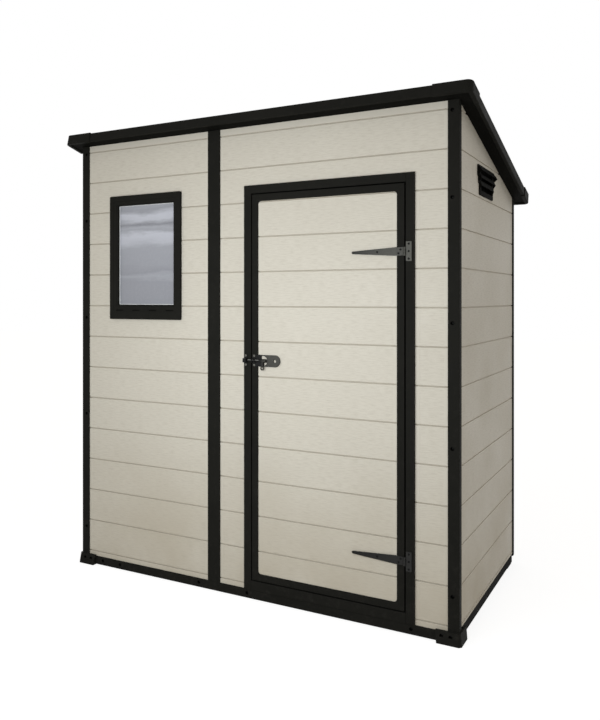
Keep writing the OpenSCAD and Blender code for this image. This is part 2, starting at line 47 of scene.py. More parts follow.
mm = 0.001
roofFall = math.radians(14.1)   # the slope of the roof and of the side walls' tops


# Meshes

meshRules = {
    "joinWithin": 0.01 * mm,    # corners of a solid that are one point
    "flatWithin": 0.5,          # degrees between faces that are one flat face
    "crease": 32,               # degrees from which an edge is shaded sharp
}


def addLoft(mesh, rings, closed=False, material=0):
    # skins a row of rings that all have the same number of points
    rows = [[mesh.verts.new(point) for point in ring] for ring in rings]
    pairs = list(zip(rows, rows[1:]))
    if closed:
        pairs.append((rows[-1], rows[0]))
    faces = []
    for first, second in pairs:
        for i in range(len(first)):
            j = (i + 1) % len(first)
            faces.append(mesh.faces.new((first[i], first[j], second[j], second[i])))
    if not closed:
        faces += [mesh.faces.new(rows[0][::-1]), mesh.faces.new(rows[-1])]
    for face in faces:
        face.material_index = material


def toObject(name, mesh):
    bmesh.ops.recalc_face_normals(mesh, faces=mesh.faces)
    data = bpy.data.meshes.new(name)
    mesh.to_mesh(data)
    mesh.free()
    piece = bpy.data.objects.new(name, data)
    scene.collection.objects.link(piece)
    return piece


def copyNode(name, node):
    # a solid's mesh with its corners joined and its flat faces made whole
    mesh = bmesh.new()
    mesh.from_mesh(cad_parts[node].data)
    bmesh.ops.remove_doubles(mesh, verts=mesh.verts, dist=meshRules["joinWithin"])
    bmesh.ops.dissolve_limit(mesh, angle_limit=math.radians(meshRules["flatWithin"]), verts=mesh.verts,
                             edges=mesh.edges)
    for face in mesh.faces:
        face.material_index = 0
    return toObject(name, mesh)


def bakeShape(piece):
    graph = bpy.context.evaluated_depsgraph_get()
    data = bpy.data.meshes.new_from_object(piece.evaluated_get(graph))
    piece.modifiers.clear()
    piece.data = data


def cutAway(piece, mesh, finishes=()):
    # finishes: given where the cut faces have another finish than the first
    cutter = toObject(piece.name + "Cutter", mesh)
    for finish in finishes:
        piece.data.materials.append(finish)
        cutter.data.materials.append(finish)
    cut = piece.modifiers.new("cut", "BOOLEAN")
    cut.operation, cut.solver, cut.object = "DIFFERENCE", "EXACT", cutter
    bakeShape(piece)
    bpy.data.objects.remove(cutter)


def soften(piece, width, steps=2, angle=40):
    # rounds the edges that turn by more than angle degrees
    edge = piece.modifiers.new("softEdges", "BEVEL")
    edge.width, edge.segments, edge.limit_method = width, steps, "ANGLE"
    edge.angle_limit = math.radians(angle)
    edge.miter_outer = "MITER_ARC"
    bakeShape(piece)


def dress(piece, body, finishes, slot, *nodes, crease=meshRules["crease"]):
    # the last step for a piece: finish, shading, body, and the solids it stands for
    finishOfFace = [face.material_index for face in piece.data.polygons]
    piece.data.materials.clear()
    for finish in finishes:
        piece.data.materials.append(finish)
    piece.data.polygons.foreach_set("material_index", finishOfFace)
    if crease:
        piece.data.shade_smooth()
        piece.data.set_sharp_from_angle(angle=math.radians(crease))
        weigh = piece.modifiers.new("flatFaces", "WEIGHTED_NORMAL")
        weigh.keep_sharp, weigh.weight = True, 100
        bakeShape(piece)
    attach(piece, body)
    if nodes:
        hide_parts(*nodes)


def circle(radius, steps):
    turns = [2 * math.pi * i / steps for i in range(steps)]
    return [(radius * math.cos(turn), radius * math.sin(turn)) for turn in turns]


def roundedPolygon(corners, radius, steps=4):
    # rounds the corners of a convex polygon
    points = []
    for i, corner in enumerate(corners):
        here = Vector(corner)
        before = (Vector(corners[i - 1]) - here).normalized()
        after = (Vector(corners[(i + 1) % len(corners)]) - here).normalized()
        half = before.angle(after) / 2
        reach = radius / math.tan(half)
        middle = here + (before + after).normalized() * radius / math.sin(half)
        start, end = here + before * reach - middle, here + after * reach - middle
        for k in range(steps + 1):
            spoke = start.lerp(end, k / steps).normalized() * radius
            points.append(tuple(middle + spoke))
    return points


def rectangle(low, high):
    return [(low[0], low[1]), (high[0], low[1]), (high[0], high[1]), (low[0], high[1])]


def turnTo(facing):
    # turns what stands upright so that it points along facing
    return Vector((0, 0, 1)).rotation_difference(Vector(facing)).to_matrix()


def addTurned(mesh, centre, facing, profile, steps=20, material=0):
    # a turned shape: profile holds (radius, height along facing)
    turn = turnTo(facing)
    rings = [[Vector(centre) + turn @ Vector((x, y, height)) for x, y in circle(radius, steps)]
             for radius, height in profile]
    addLoft(mesh, rings, material=material)


# Finishes

def fillInputs(tree, node, inputs):
    for key, value in dict(inputs).items():
        if isinstance(value, bpy.types.NodeSocket):
            tree.links.new(value, node.inputs[key])
        else:
            node.inputs[key].default_value = value


def addNode(tree, kind, inputs=(), **settings):
    node = tree.nodes.new("ShaderNode" + kind)
    for key, value in settings.items():
        setattr(node, key, value)
    fillInputs(tree, node, inputs)
    return node.outputs[0]


def mixColours(tree, amount, first, second):
    node = tree.nodes.new("ShaderNodeMix")
    node.data_type = "RGBA"
    fillInputs(tree, node, {0: amount, 6: first, 7: second})
    return node.outputs[2]


def ramp(tree, value, low, high, bottom=0.0, top=1.0):
    return addNode(tree, "MapRange", {"Value": value, "From Min": low, "From Max": high,
                                      "To Min": bottom, "To Max": top})


def multiply(tree, first, second):
    return addNode(tree, "Math", {0: first, 1: second}, operation="MULTIPLY")


def stretch(tree, place, scales):
    return addNode(tree, "VectorMath", {0: place, 1: scales}, operation="MULTIPLY")


def noise(tree, place, scale, detail, roughness=0.5):
    return addNode(tree, "TexNoise", {"Vector": place, "Scale": scale, "Detail": detail, "Roughness": roughness})


def shaded(colour, shade):
    return [channel * shade for channel in colour[:3]] + [1]


def newFinish(name, specular, metallic=0.0):
    # comes with the place in the frame, whole and as its three parts
    finish = bpy.data.materials.new(name)
    finish.use_nodes = True
    tree = finish.node_tree
    fillInputs(tree, tree.nodes["Principled BSDF"], {"Specular IOR Level": specular, "Metallic": metallic})
    place = tree.nodes.new("ShaderNodeTexCoord").outputs["Object"]
    return finish, tree, place, addNode(tree, "SeparateXYZ", {"Vector": place}).node.outputs


def complete(finish, colour, roughness, relief=None):
    # relief: the height, strength and depth of its bumps
    tree = finish.node_tree
    inputs = {"Base Color": colour, "Roughness": roughness}
    if relief:
        inputs["Normal"] = addNode(tree, "Bump", dict(zip(("Height", "Strength", "Distance"), relief)))
    fillInputs(tree, tree.nodes["Principled BSDF"], inputs)
    return finish


creamLook = {
    "colour": (0.672, 0.642, 0.562, 1),
    "streak": (0.565, 0.532, 0.455, 1),
    # line, sideLine: the board lines' bottoms in painted shade, lighter on the side walls
    "line": (0.52, 0.485, 0.41, 1),
    "sideLine": (0.63, 0.595, 0.515, 1),
    "streaksPerMetre": (30, 260),       # along the boards and up the wall
    "hairsPerMetre": (90, 900),
    "cloudsPerMetre": 3.2,
    "plainGrain": 0.25,                 # the grain's strength outside the grained fields
    "grainDepth": 0.4 * mm,
    # painted shade: the walls darken blotchily towards the ground, up to the height below
    "dust": (0.49, 0.436, 0.338, 1),
    "paintedLowShadeHeight": 0.62,
    "gloss": 0.3,
    "roughness": (0.5, 0.66),
}


def alongBoards(tree, parts, perMetre):
    # along the boards on the front, rear and side walls alike, and up the wall
    along, up = perMetre
    run = addNode(tree, "Math", {0: parts[0], 1: parts[1]}, operation="ADD")
    return stretch(tree, addNode(tree, "CombineXYZ", {"X": run, "Y": parts[1], "Z": parts[2]}), (along, 0.0, up))


def creamResin(name, grained, tint=None):
    # tint: a darker colour, painted shade for the bottoms of the board lines
    colour, streak, dust = [tint or creamLook[key] for key in ("colour", "streak", "dust")]
    finish, tree, place, parts = newFinish(name, creamLook["gloss"])
    streaks = noise(tree, alongBoards(tree, parts, creamLook["streaksPerMetre"]), 1, 5, 0.62)
    hairs = noise(tree, alongBoards(tree, parts, creamLook["hairsPerMetre"]), 1, 2)
    clouds = noise(tree, place, creamLook["cloudsPerMetre"], 3)
    grain = 1.0 if grained else creamLook["plainGrain"]
    base = mixColours(tree, ramp(tree, streaks, 0.44, 0.74, 0, grain), colour, streak)
    base = mixColours(tree, ramp(tree, clouds, 0.3, 0.75, 0, 0.2), base, streak)
    # painted shade of the lower wall: darker and yellower towards the ground, in blotches
    paintedLowShadeMask = multiply(tree, ramp(tree, parts[2], 0.03, creamLook["paintedLowShadeHeight"], 0.7, 0),
                     ramp(tree, clouds, 0.35, 0.65, 0.35, 1))
    relief = addNode(tree, "Math", {0: streaks, 1: ramp(tree, hairs, 0, 1, 0, 0.35)}, operation="ADD")
    return complete(finish, mixColours(tree, paintedLowShadeMask, base, dust),
                    ramp(tree, clouds, 0.3, 0.7, *creamLook["roughness"]),
                    (relief, 0.8 * grain, creamLook["grainDepth"]))


blackLook = {
    "colour": (0.0125, 0.0125, 0.0108, 1),
    "scuffed": (0.027, 0.026, 0.023, 1),
    "cloudsPerMetre": 7,
    "scuffsPerMetre": 38,
    "pebblesPerMetre": 900,
    "pebbleDepth": 0.12 * mm,
    "roughness": (0.52, 0.68),
    "gloss": 0.025,
    "paintedShadeLevel": 0.5,           # the darker black of painted shade, for the roof sheet, vents, side base rails and the insides of holes and slots
    "paintedShadeGloss": 0.008,
}


def blackResin(name, shade, gloss):
    finish, tree, place, parts = newFinish(name, gloss)
    colour, scuffed = shaded(blackLook["colour"], shade), shaded(blackLook["scuffed"], shade)
    pebbles = noise(tree, place, blackLook["pebblesPerMetre"], 2)
    clouds = noise(tree, place, blackLook["cloudsPerMetre"], 6, 0.6)
    scuffs = noise(tree, place, blackLook["scuffsPerMetre"], 8, 0.7)
    # feet and mud scuff the lowest half metre most
    lighterMask = multiply(tree, ramp(tree, scuffs, 0.52, 0.72), ramp(tree, parts[2], 0, 0.5, 0.8, 0.25))
    base = mixColours(tree, ramp(tree, clouds, 0.35, 0.7, 0, 0.22), colour, scuffed)
    return complete(finish, mixColours(tree, lighterMask, base, scuffed),
                    ramp(tree, clouds, 0.3, 0.7, *blackLook["roughness"]), (pebbles, 0.5, blackLook["pebbleDepth"]))


steelLook = {
    "colour": (0.016, 0.016, 0.015, 1),
    # the steel's lighter colour: partly real wear in random patches, partly painted reflection on the upper pieces
    "worn": (0.059, 0.058, 0.050, 1),
    "paintedHighlight": (0.24, 0.24, 0.225, 1),
    "shades": {"fold": 1, "screw": 0.1, "latch": 0.95, "latchScrew": 3.0, "strap": 1.1, "hinge": 1.3},
    "metallic": 0.55,
    "gloss": 0.3,
    "roughness": (0.42, 0.6),
    "patchesPerMetre": 60,
    "grainsPerMetre": 1400,
    "grainDepth": 0.05 * mm,
    "paintedSheenHeights": (0.3, 0.95),    # the heights between which the steel grows lighter: painted reflection, bright on the upper hinge and dark on the lower
    "unworn": 0.25,             # the shade of a piece's dark left end: painted shadow on the latch, a darker tip on a strap
    "latchWear": (0.079, 0.098),            # from the latch's dark left part, painted shadow, to its lighter right part
    "strapWear": (0.43, 0.60),  # from a strap's tip to its broad end
    "paintedHighlightLine": (0.9665, 0.072),          # the height and right-hand end of the painted highlight along the bolt
    "paintedHighlightHalf": (0.6 * mm, 1.6 * mm),     # half its height, bright and in all
}


def darkSteel(name, shade, lightensAlong=None, paintedHighlightLine=None):
    # lightensAlong: the stretch from left to right over which the piece lightens from its dark left end
    finish, tree, place, parts = newFinish(name, steelLook["gloss"], steelLook["metallic"])
    patches = noise(tree, place, steelLook["patchesPerMetre"], 6, 0.65)
    grains = noise(tree, place, steelLook["grainsPerMetre"], 2)
    colour, worn = shaded(steelLook["colour"], shade), shaded(steelLook["worn"], shade)
    # lighter where worn in random patches, and only high up: the height ramp is painted reflection
    lighterMask = multiply(tree, ramp(tree, patches, 0.3, 0.7, 0.4, 1), ramp(tree, parts[2], *steelLook["paintedSheenHeights"]))
    # darker at a piece's left end: painted shadow round the latch's bolt stem, a darker tip on a strap
    if lightensAlong:
        start = ramp(tree, parts[0], *lightensAlong)
        lighterMask = multiply(tree, start, lighterMask)
        colour = mixColours(tree, start, shaded(colour, steelLook["unworn"]), colour)
    base = mixColours(tree, lighterMask, colour, worn)
    # painted highlight: a bright line along the top of the bolt
    if paintedHighlightLine:
        height, end = paintedHighlightLine
        bright, whole = steelLook["paintedHighlightHalf"]
        line = multiply(tree, ramp(tree, parts[2], height - whole, height - bright),
                        ramp(tree, parts[2], height + whole, height + bright))
        line = multiply(tree, line, ramp(tree, parts[0], end + 4 * mm, end - 4 * mm))
        base = mixColours(tree, line, base, steelLook["paintedHighlight"])
    return complete(finish, base, ramp(tree, patches, 0.3, 0.7, *steelLook["roughness"]),
                    (grains, 0.3, steelLook["grainDepth"]))


sheetLook = {
    "tint": (0.965, 1.0, 1.12),     # blue-grey of the painted sky reflection on the clear pane
    # (share of the pane's height, brightness) of the bands of painted sky reflection
    "bands": ((0, 0.305), (0.24, 0.315), (0.285, 0.38), (0.33, 0.305), (0.40, 0.345), (0.56, 0.37), (0.63, 0.52),
              (0.70, 0.57), (0.735, 0.37), (0.76, 0.42), (0.80, 0.26), (0.86, 0.54), (0.90, 0.58), (0.95, 0.34),
              (1, 0.40)),
    "waver": 0.05,              # how far the bands wander, as a share of the height
    "waversPerMetre": (5.0, 0.0, 26.0),
    "pale": 0.5,                # brightness of the fine speckle
    "specklesPerMetre": 90,
    "speckleDepth": 0.3 * mm,
    "gloss": 0.5,
    "roughness": 0.16,
}


def paintedSkySheet(name, low, high):
    finish, tree, place, parts = newFinish(name, sheetLook["gloss"])
    # painted reflection: bands of sky that waver across the pane
    clouds = noise(tree, stretch(tree, place, sheetLook["waversPerMetre"]), 1, 4, 0.6)
    speckle = noise(tree, place, sheetLook["specklesPerMetre"], 4)
    drift = ramp(tree, clouds, 0.2, 0.8, -sheetLook["waver"], sheetLook["waver"])
    share = addNode(tree, "Math", {0: ramp(tree, parts[2], low, high), 1: drift}, operation="ADD")
    bands = addNode(tree, "ValToRGB", {0: share})
    stops, marks = sheetLook["bands"], bands.node.color_ramp.elements
    while len(marks) < len(stops):
        marks.new(0.5)
    for mark, stop in zip(marks, stops):
        mark.position = stop[0]
    for mark, stop in zip(marks, stops):
        mark.color = shaded(sheetLook["tint"], stop[1])
    base = mixColours(tree, ramp(tree, speckle, 0.45, 0.7, 0, 0.08), bands,
                      shaded(sheetLook["tint"], sheetLook["pale"]))
    return complete(finish, base, sheetLook["roughness"], (speckle, 0.08, sheetLook["speckleDepth"]))


beadLook = {
    "colour": (0.80, 0.82, 0.82, 1),
    "dull": (0.34, 0.35, 0.38, 1),
    "patchesPerMetre": 24,
    "gloss": 0.4,
    "roughness": 0.3,
}


def paleEdge(name):
    finish, tree, place = newFinish(name, beadLook["gloss"])[:3]
    patches = noise(tree, place, beadLook["patchesPerMetre"], 4)
    base = mixColours(tree, ramp(tree, patches, 0.35, 0.7, 0, 0.4), beadLook["colour"], beadLook["dull"])
    return complete(finish, base, beadLook["roughness"])


creamGrain = creamResin("creamGrain", True)
creamSmooth = creamResin("creamSmooth", False)
creamLinePaintedShade = creamResin("creamLinePaintedShade", False, creamLook["line"])
creamSideLinePaintedShade = creamResin("creamSideLinePaintedShade", False, creamLook["sideLine"])
blackFinish = blackResin("blackResin", 1, blackLook["gloss"])
paintedShadeFinish = blackResin("paintedShadeBlackResin", blackLook["paintedShadeLevel"], blackLook["paintedShadeGloss"])
shades = steelLook["shades"]
foldFinish = darkSteel("darkSteel", shades["fold"])
screwFinish = darkSteel("screwSteel", shades["screw"])
latchFinish = darkSteel("latchSteel", shades["latch"], steelLook["latchWear"])
# the latch screws' bright steel is painted highlight, for light reflecting off the latch plates
latchScrewHighlightFinish = darkSteel("latchScrewPaintedHighlight", shades["latchScrew"])
boltFinish = darkSteel("boltSteel", shades["latch"], steelLook["latchWear"], steelLook["paintedHighlightLine"])
strapFinish = darkSteel("strapSteel", shades["strap"], steelLook["strapWear"])
hingeFinish = darkSteel("hingeSteel", shades["hinge"])
sheetFinish = paintedSkySheet("paintedSkySheet", *[corner.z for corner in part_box("window_pane")])
beadFinish = paleEdge("paneEdge")
# the clouded sheet is the pane's painted sky reflection
print("finishes: cream and black resin, dark steel, clouded sheet")


# Walls and door leaf: each moulded sheet has board lines on both sides, and a grained field in each board

boards = {
    "firstLine": 60 * mm,       # above the ground
    "pitch": 140 * mm,
    "lineClear": 8 * mm,        # no line lies nearer to a sheet's foot or head
    "lineRunsOut": 5 * mm,      # past a sheet's ends
    # (half the width, depth) of a board line in mm, on its shoulders and at its bottom, which has painted shade
    "lineShoulder": ((4.0, -1), (4.0, -0.02), (3.3, 0.1), (2.8, 0.3), (2.5, 0.7)),
    "lineBottom": ((2.3, 1.6), (1.9, 3.8), (1.0, 4.8)),
    "fieldDepth": 0.5 * mm,
    "fieldFromLine": 6 * mm,
    "fieldCorner": 9 * mm,
    "fieldEdge": 0.9 * mm,      # how far the field's rim slopes in
    "fieldTall": 27 * mm,       # a lower field is left out
    "fieldShort": 19.8 * mm,    # so is one with a shorter side
    "margin": 14 * mm,          # of the field inside the sheet's showing edge
}


def boardedSheet(name, node, body, facing, hidden=(8, 8, 0, 0)):
    # hidden: how many mm of each edge (first end, last end, bottom, top) lie in its neighbour,
    # or None where the field runs on
    low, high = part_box(node)
    start, end, thickness, place = {
        "front": (low.x, high.x, high.y - low.y, lambda run, depth, z: (run, low.y + depth, z)),
        "rear": (low.x, high.x, high.y - low.y, lambda run, depth, z: (run, high.y - depth, z)),
        "left": (low.y, high.y, high.x - low.x, lambda run, depth, z: (low.x + depth, run, z)),
        "right": (low.y, high.y, high.x - low.x, lambda run, depth, z: (high.x - depth, run, z)),
    }[facing]
    sloping = facing in ("left", "right")
    fall = math.tan(roofFall) if sloping else 0
    first, last, bottom, top = [boards["margin"] + h * mm if h is not None else -boards["margin"] for h in hidden]
    clear = boards["lineClear"]
    lines = []
    level = boards["firstLine"]
    while level < high.z - clear:
        if level > low.z + clear:
            lines.append(level)
        level += boards["pitch"]

    # the board lines, on both sides of the sheet
    cutters = bmesh.new()
    shoulder = len(boards["lineShoulder"])
    half = boards["lineShoulder"] + boards["lineBottom"]
    profile = [(-across, depth) for across, depth in half] + list(reversed(half))
    ends = (start - boards["lineRunsOut"], end + boards["lineRunsOut"])
    for level in lines:
        for outer in (True, False):
            addLoft(cutters, [[place(run, depth * mm if outer else thickness - depth * mm, level + rise * mm)
                               for rise, depth in profile] for run in ends])
            cutters.faces.ensure_lookup_table()
            groove = cutters.faces[-len(profile) - 2:-2]
            # the line's bottom faces take the darker cream of painted shade
            for face in groove[shoulder - 1:len(profile) - shoulder]:
                face.material_index = 2

    # the grained field of each board
    def topOver(run):
        return high.z - top - (run - start) * fall

    gap = boards["fieldFromLine"]
    left, right = start + first, end - last
    floors = [low.z + bottom] + [level + gap for level in lines]
    roofs = [level - gap for level in lines] + [high.z - top]
    for floor, roof in zip(floors, roofs):
        corners = [(left, floor), (right, floor), (right, roof), (left, roof)]
        if sloping and roof > topOver(right):
            # the board is cut off by the sloping top of the wall
            reachFloor = min(right, start + (high.z - top - floor) / fall)
            reachRoof = start + (high.z - top - roof) / fall
            corners = [(left, floor), (reachFloor, floor)]
            if topOver(right) > floor:
                corners.append((right, topOver(right)))
            if reachRoof > left:
                corners += [(reachRoof, roof), (left, roof)]
            else:
                corners.append((left, topOver(left)))
        shortest = min((Vector(a) - Vector(b)).length for a, b in zip(corners, corners[1:] + corners[:1]))
        if roof - floor < boards["fieldTall"] or shortest < boards["fieldShort"]:
            continue
        centre = sum((Vector(c) for c in corners), Vector((0, 0))) / len(corners)
        rim = roundedPolygon(corners, boards["fieldCorner"])
        inner = [Vector(p) + (centre - Vector(p)).normalized() * boards["fieldEdge"] for p in rim]
        addLoft(cutters, [[place(run, -1 * mm, z) for run, z in rim], [place(run, -0.01 * mm, z) for run, z in rim],
                          [place(run, boards["fieldDepth"], z) for run, z in inner]], material=1)

    sheet = copyNode(name, node)
    # the third finish is the painted shade in the board lines
    finishes = (creamSmooth, creamGrain, creamSideLinePaintedShade if sloping else creamLinePaintedShade)
    cutAway(sheet, cutters, finishes)
    dress(sheet, body, finishes, "cream_resin", node, crease=0)


boardedSheet("frontBoardsWindow", "front_panel_window", "shed", "front")
boardedSheet("frontBoardsLatch", "front_panel_latch_side", "shed", "front", (8, 12, 0, None))
boardedSheet("frontBoardsHinge", "front_panel_hinge_side", "shed", "front", (12, 8, 0, None))
boardedSheet("frontBoardsOverDoor", "front_panel_over_door", "shed", "front", (8, 8, None, 0))
boardedSheet("leftBoards", "left_wall", "shed", "left")
boardedSheet("rightBoards", "right_wall", "shed", "right")
boardedSheet("rearBoardsLeft", "rear_panel_left", "shed", "rear")
boardedSheet("rearBoardsRight", "rear_panel_right", "shed", "rear")
boardedSheet("doorBoards", "door_panel", "door", "front", (10, 10, 10, 10))
print("boards: eight wall sheets and the door leaf")


# Screws: a pan head with a cross recess, made once and set wherever a screw shows

screwLook = {
    "radius": 4.2 * mm,
    "height": 2.2 * mm,
    "root": 1.0 * mm,           # how far the head reaches below the surface it sits on
    "dome": ((1, 0), (1, 0.35), (0.86, 0.75), (0.5, 1)),        # shares of the radius and height
    "recess": 1.3 * mm,
    "slot": (2.6 * mm, 0.65 * mm),          # half the length and width of its arms
    "firstTurn": 12,            # degrees, and how much further each next screw is turned
    "nextTurn": 37,
}


def screwHead():
    radius, height = screwLook["radius"], screwLook["height"]
    head = bmesh.new()
    addTurned(head, (0, 0, 0), (0, 0, 1), [(radius * 0.86, -screwLook["root"])] + [
        (radius * out, height * up) for out, up in screwLook["dome"]])
    head = toObject("screwHead", head)
    long, narrow = screwLook["slot"]
    for size in ((long, narrow), (narrow, long)):
        cut = bmesh.new()
        addLoft(cut, [[(x * scale, y * scale, z) for x, y in rectangle((-size[0], -size[1]), size)]
                      for scale, z in ((0.6, height - screwLook["recess"]), (1.05, height + 0.2 * mm))])
        cutAway(head, cut)
    data = head.data.copy()
    bpy.data.objects.remove(head)
    return data


screwMesh = screwHead()


def setScrews(name, body, spots, finish=screwFinish, sunk=0.0, size=1.0, slot="black_resin"):
    # spots: (place on the surface, direction it faces); sunk: how deep the heads stand in it
    group = bmesh.new()
    for i, (place, facing) in enumerate(spots):
        facing = Vector(facing).normalized()
        spin = Matrix.Rotation(math.radians(screwLook["nextTurn"] * i + screwLook["firstTurn"]), 4, "Z")
        one = screwMesh.copy()
        one.transform(Matrix.Translation(Vector(place) - facing * sunk) @ turnTo(facing).to_4x4()
                      @ spin @ Matrix.Scale(size, 4))
        group.from_mesh(one)
        bpy.data.meshes.remove(one)
    dress(toObject(name, group), body, [finish], slot)


# Posts, mullions, base and feet: moulded black resin with soft edges and sunk screws

blackParts = {
    "edge": 1.4 * mm,
    "footEdge": 2.6 * mm,
    "holeRadius": 6.6 * mm,
    "holeDepth": 10 * mm,
    "holeLeadIn": (0.9 * mm, 0.5 * mm),     # how much wider the mouth is, and its depth
    "screwSunk": 9 * mm,
    "screwIn": 25 * mm,         # from a post's outer edge
    "screwLevels": (0.167, 0.685, 1.126, 1.568, 1.874),
    "belowTop": 30 * mm,        # no screw is nearer to a post's top
    "railScrews": (-0.742, -0.644, -0.222, 0.010, 0.689),
    "railScrewLevel": 0.022,
    "footScrews": (0.802, 0.835),
    "footScrewLevel": 0.029,
    "footFaceIn": 3.1 * mm,     # the foot's front face stands behind its lowest edge
    "rearFootEdge": 0.7 * mm,
}


def pieceName(node):
    first, *rest = node.split("_")
    return first + "".join(word.title() for word in rest)


def blackPiece(node, body="shed", edge=None, holes=(), finish=blackFinish):
    # holes: (place, direction it faces) of its sunk screw holes, whose insides take the darker black of painted shade
    piece = copyNode(pieceName(node), node)
    finishes = [finish, paintedShadeFinish]
    radius, (wider, deeper) = blackParts["holeRadius"], blackParts["holeLeadIn"]
    if holes:
        cut = bmesh.new()
        for place, facing in holes:
            addTurned(cut, place, facing, [(radius, -blackParts["holeDepth"]), (radius, -deeper),
                                           (radius + wider, 0.3 * mm)], steps=16, material=1)
        cutAway(piece, cut, finishes)
    soften(piece, edge or blackParts["edge"])
    dress(piece, body, finishes, "black_resin", node)


shedScrews = []


def endFace(node):
    # the side of the shed a piece is on, where its face to the front or rear lies, and which way that faces
    low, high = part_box(node)
    front = low.y < 0
    return 1 if low.x > 0 else -1, low.y if front else high.y, (0, -1 if front else 1, 0)


def screwedPiece(node, spots, edge=None):
    blackPiece(node, edge=edge, holes=spots)
    shedScrews.extend(spots)


for node in ("corner_post_front_left", "corner_post_front_right", "corner_post_rear_left", "corner_post_rear_right"):
    low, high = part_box(node)
    side, face, facing = endFace(node)
    across = side * (max(-low.x, high.x) - blackParts["screwIn"])
    screwedPiece(node, [((across, face, z), facing) for z in blackParts["screwLevels"]
                        if z < high.z - blackParts["belowTop"]])
for node in ("front_mullion", "rear_mullion"):
    blackPiece(node)
# the side base rails are all in the darker black of painted shade
for node in ("base_rail_left", "base_rail_right"):
    blackPiece(node, finish=paintedShadeFinish)
for node in ("base_rail_front", "base_rail_rear"):
    face, facing = endFace(node)[1:]
    screwedPiece(node, [((x, face, blackParts["railScrewLevel"]), facing) for x in blackParts["railScrews"]])
for node in ("foot_front_left", "foot_front_right"):
    side, face, facing = endFace(node)
    screwedPiece(node, [((side * x, face + blackParts["footFaceIn"], blackParts["footScrewLevel"]), facing)
                        for x in blackParts["footScrews"]], edge=blackParts["footEdge"])
for node in ("foot_rear_left", "foot_rear_right"):
    blackPiece(node, edge=blackParts["rearFootEdge"])
setScrews("shedScrews", "shed", shedScrews, sunk=blackParts["screwSunk"])
print("posts, mullions, base and feet:", len(shedScrews), "screws")


# Floor: one black sheet with board lines from front to back

floorLook = {
    "boards": 12,
    # (across, depth) of a line between two boards, in mm
    "line": ((-2.6, -1), (-2.6, -0.02), (-1.6, 0.5), (-0.8, 1.6), (0.8, 1.6), (1.6, 0.5), (2.6, -0.02), (2.6, -1)),
    "border": 30 * mm,          # without lines, at the front and the rear
}
low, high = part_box("floor_panel")
cut = bmesh.new()
for i in range(1, floorLook["boards"]):
    middle = low.x + (high.x - low.x) * i / floorLook["boards"]
    addLoft(cut, [[(middle + across * mm, y, high.z - depth * mm) for across, depth in floorLook["line"]]
                  for y in (low.y + floorLook["border"], high.y - floorLook["border"])])
floorSheet = copyNode("floorSheet", "floor_panel")
cutAway(floorSheet, cut)
dress(floorSheet, "shed", [blackFinish], "black_resin", "floor_panel")


# Door frame and the door's border

for node in ("door_jamb_latch", "door_jamb_hinge", "door_head", "door_threshold"):
    blackPiece(node)
blackPiece("door_border", "door")
print("floor, door frame and door border")


# Hinges: a tapered strap with a folded end, a plate of three knuckles, and their screws

hingeLook = {
    "edge": 0.5 * mm,
    "metal": 3 * mm,            # thickness of the straps and plates on the border and the frame
    "height": 31 * mm,          # of a strap at its broad end
    "end": 3.5 * mm,            # from the strap's broad end to the border's edge
    "fold": 0.9 * mm,           # the folded metal at the strap's broad end
    "foldLength": 25 * mm,
    "foldIn": 0.4 * mm,         # the fold stands in from the strap's edges, and slopes in as much again
    "strapScrews": ((-17 * mm, -7 * mm), (-9 * mm, 7 * mm), (-98 * mm, 0)),
    "plateScrews": (-27 * mm, 0, 27 * mm),
    "plateScrewIn": 10.5 * mm,  # from the plate's outer edge
    "screw": 0.95,              # the size of its screws against the posts'
    "screwSunk": 0.5 * mm,
}
for node, body, finish in (("hinge_straps", "door", strapFinish), ("hinge_plates", "shed", hingeFinish)):
    piece = copyNode(pieceName(node), node)
    soften(piece, hingeLook["edge"], steps=1)
    dress(piece, body, [finish], "dark_steel", node)

borderLow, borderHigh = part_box("door_border")
strapLow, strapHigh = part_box("hinge_straps")
metalFace = borderLow.y - hingeLook["metal"]
end = borderHigh.x - hingeLook["end"]
half = hingeLook["height"] / 2
foldStart, foldIn, fold = end - hingeLook["foldLength"], hingeLook["foldIn"], hingeLook["fold"]
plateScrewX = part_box("hinge_plates")[1].x - hingeLook["plateScrewIn"]
folds = bmesh.new()
strapSpots, plateSpots = [], []
for level in (strapLow.z + half, strapHigh.z - half):
    rim = roundedPolygon(rectangle((foldStart, level - half + foldIn), (end, level + half - foldIn)), 1.6 * mm, 3)
    inner = roundedPolygon(rectangle((foldStart + foldIn, level - half + 2 * foldIn),
                                     (end - foldIn, level + half - 2 * foldIn)), 1.4 * mm, 3)
    addLoft(folds, [[(x, metalFace + depth, z) for x, z in loop]
                    for loop, depth in ((rim, 0.2 * mm), (rim, -fold * 0.6), (inner, -fold))])
    for across, rise in hingeLook["strapScrews"]:
        face = metalFace - (fold if end + across > foldStart else 0)
        strapSpots.append(((end + across, face, level + rise), (0, -1, 0)))
    for rise in hingeLook["plateScrews"]:
        plateSpots.append(((plateScrewX, metalFace, level + rise), (0, -1, 0)))
dress(toObject("hingeFolds", folds), "door", [foldFinish], "dark_steel")
for name, body, spots in (("strapScrews", "door", strapSpots), ("plateScrews", "shed", plateSpots)):
    setScrews(name, body, spots, sunk=hingeLook["screwSunk"], size=hingeLook["screw"], slot="dark_steel")
print("hinges:", len(strapSpots) + len(plateSpots), "screws")


# Latch: the bolt, its staple on the frame and the plate with the padlock hole

